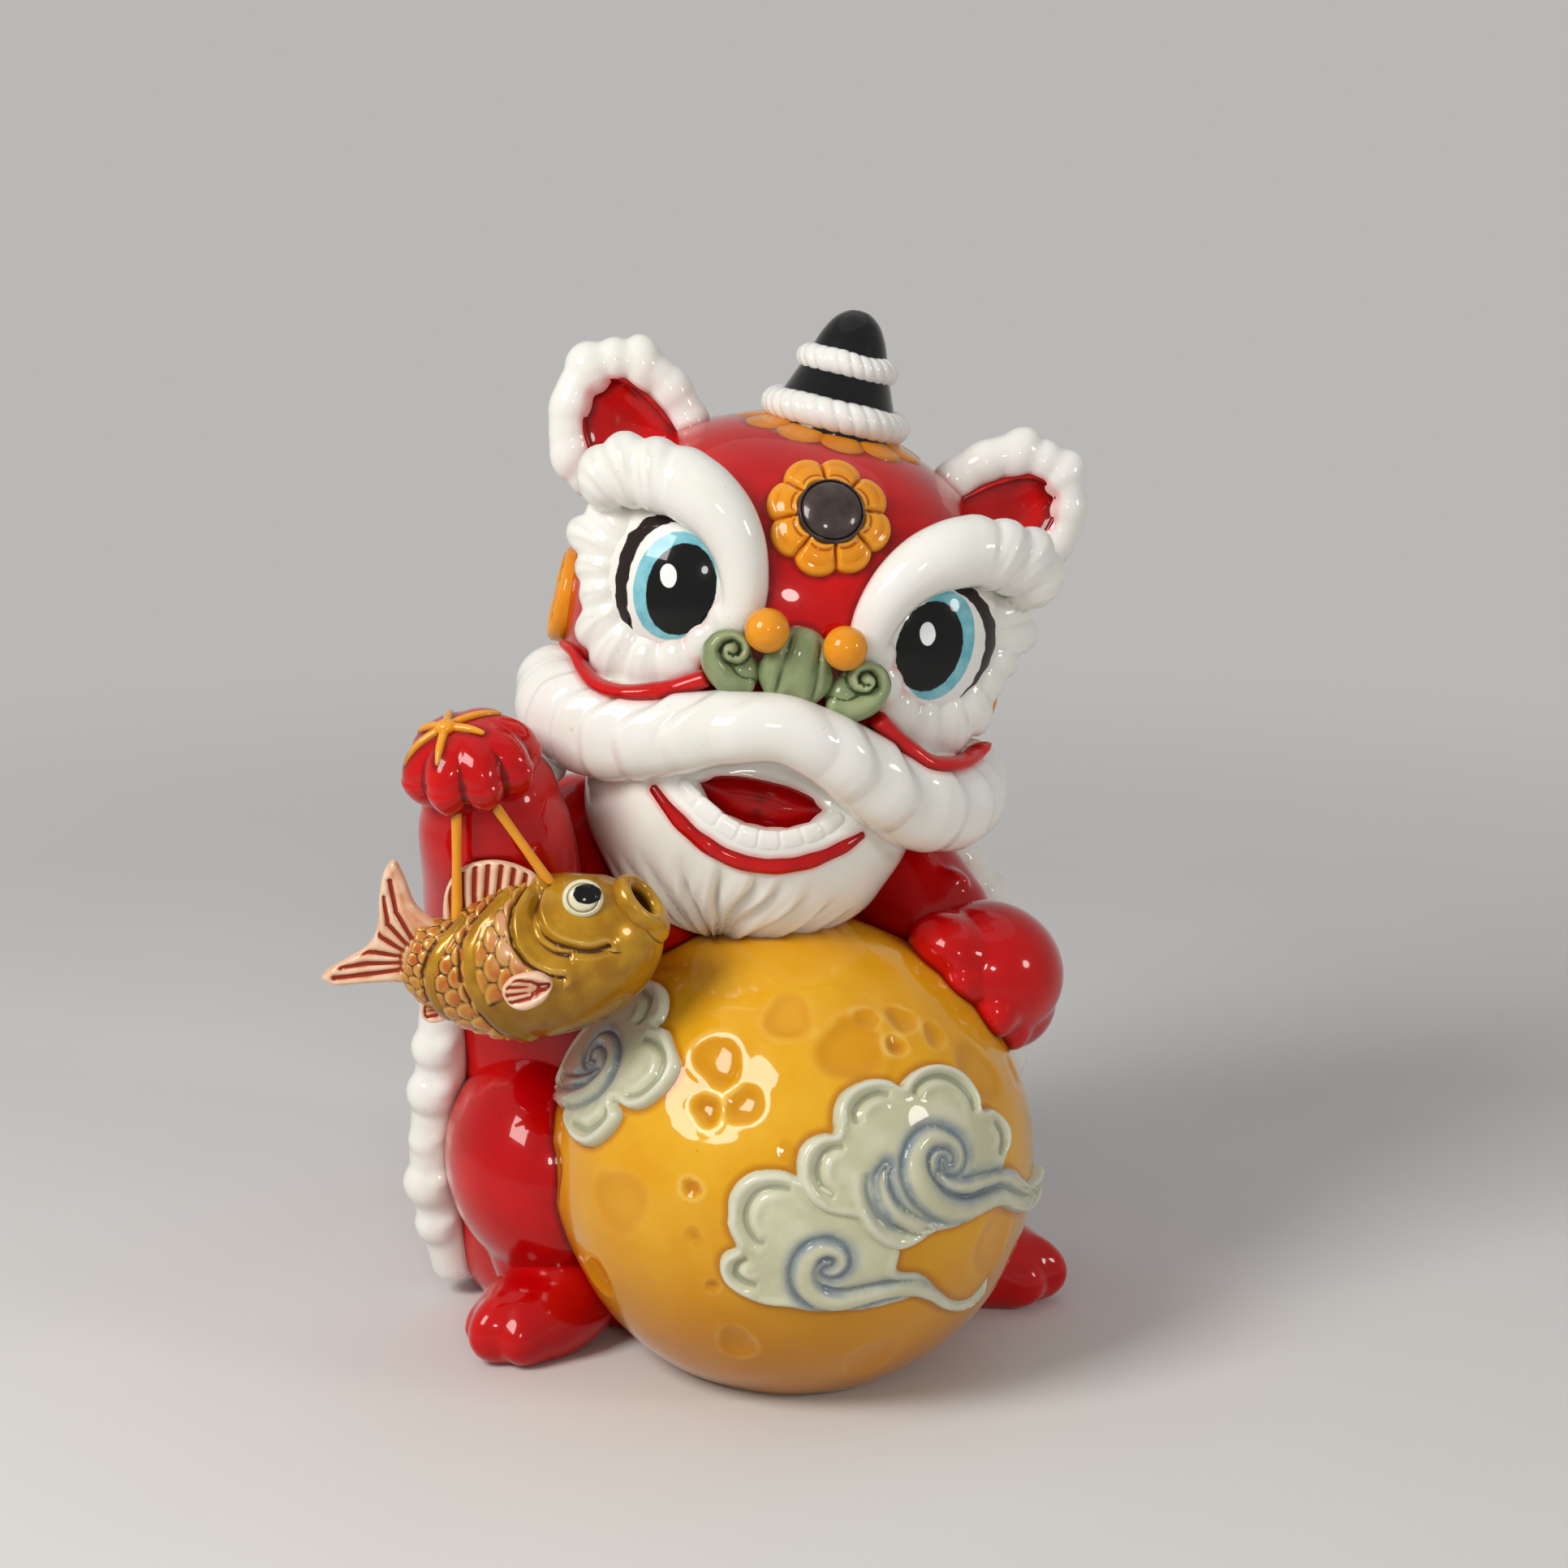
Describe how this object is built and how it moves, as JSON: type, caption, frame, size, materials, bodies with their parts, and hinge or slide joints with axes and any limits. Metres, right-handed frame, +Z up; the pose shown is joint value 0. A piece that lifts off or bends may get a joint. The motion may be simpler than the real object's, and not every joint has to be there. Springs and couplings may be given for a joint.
{
  "type": "ceramic lion figurine",
  "caption": "Glazed ceramic festival lion seated behind a moon with raised clouds, one paw on the moon and the other holding up a carp on cords.",
  "frame": {"origin": "on the resting plane, on the torso's flat foot just behind the moon's foot", "axes": "+Z up from the resting plane, -Y the way the moon and the lion face, +X to the lion's left"},
  "size_m": [0.1732, 0.174, 0.2227],
  "materials": {
    "red_glaze": "high gloss crimson glaze",
    "white_glaze": "high gloss warm white glaze",
    "moon_yellow_glaze": "high gloss amber-yellow glaze that pools darker in hollows",
    "celadon_glaze": "high gloss pale grey-green glaze with blue-grey in the curls",
    "jade_glaze": "high gloss grey-green glaze",
    "black_glaze": "high gloss black glaze",
    "amber_glaze": "high gloss orange-amber glaze",
    "bronze_glaze": "dark metallic brown glaze",
    "gold_glaze": "antique gold lustre over brown glaze",
    "carp_red_glaze": "cream and red-brown striped glaze"
  },
  "bodies": {
    "root": {"beard": "white_glaze", "carp_anal_fin": "carp_red_glaze", "carp_body": "gold_glaze", "carp_dorsal_fin": "carp_red_glaze", "carp_eye": "white_glaze", "carp_lips": "gold_glaze", "carp_pectoral_fin": "carp_red_glaze", "carp_tail": "carp_red_glaze", "forehead_flower": "amber_glaze", "forehead_mirror": "bronze_glaze", "front_carp_cord": "amber_glaze", "head": "red_glaze", "horn": "black_glaze", "horn_lower_band": "white_glaze", "horn_petal_collar": "amber_glaze", "horn_upper_band": "white_glaze", "left_cape_fringe": "white_glaze", "left_cheek_disc": "amber_glaze", "left_cheek_piping": "red_glaze", "left_ear": "white_glaze", "left_ear_lining": "red_glaze", "left_eye": "white_glaze", "left_eye_fur": "white_glaze", "left_foot": "red_glaze", "left_leg": "red_glaze", "left_nose_bead": "amber_glaze", "left_nose_curl": "jade_glaze", "left_paw": "red_glaze", "left_sleeve": "red_glaze", "lower_lip": "red_glaze", "lower_teeth": "white_glaze", "moon": "moon_yellow_glaze", "moon_cloud_lower": "celadon_glaze", "moon_cloud_side": "celadon_glaze", "moon_cloud_upper": "celadon_glaze", "moustache": "white_glaze", "mouth_lining": "red_glaze", "nose_bridge": "jade_glaze", "paw_cord_knot": "amber_glaze", "rear_carp_cord": "amber_glaze", "right_cape_fringe": "white_glaze", "right_cheek_disc": "amber_glaze", "right_cheek_piping": "red_glaze", "right_ear": "white_glaze", "right_ear_lining": "red_glaze", "right_eye": "white_glaze", "right_eye_fur": "white_glaze", "right_foot": "red_glaze", "right_leg": "red_glaze", "right_nose_bead": "amber_glaze", "right_nose_curl": "jade_glaze", "right_paw": "red_glaze", "right_shoulder_fur": "white_glaze", "right_sleeve": "red_glaze", "spine_fur": "white_glaze", "tail": "white_glaze", "torso": "red_glaze"}
  },
  "joints": []
}
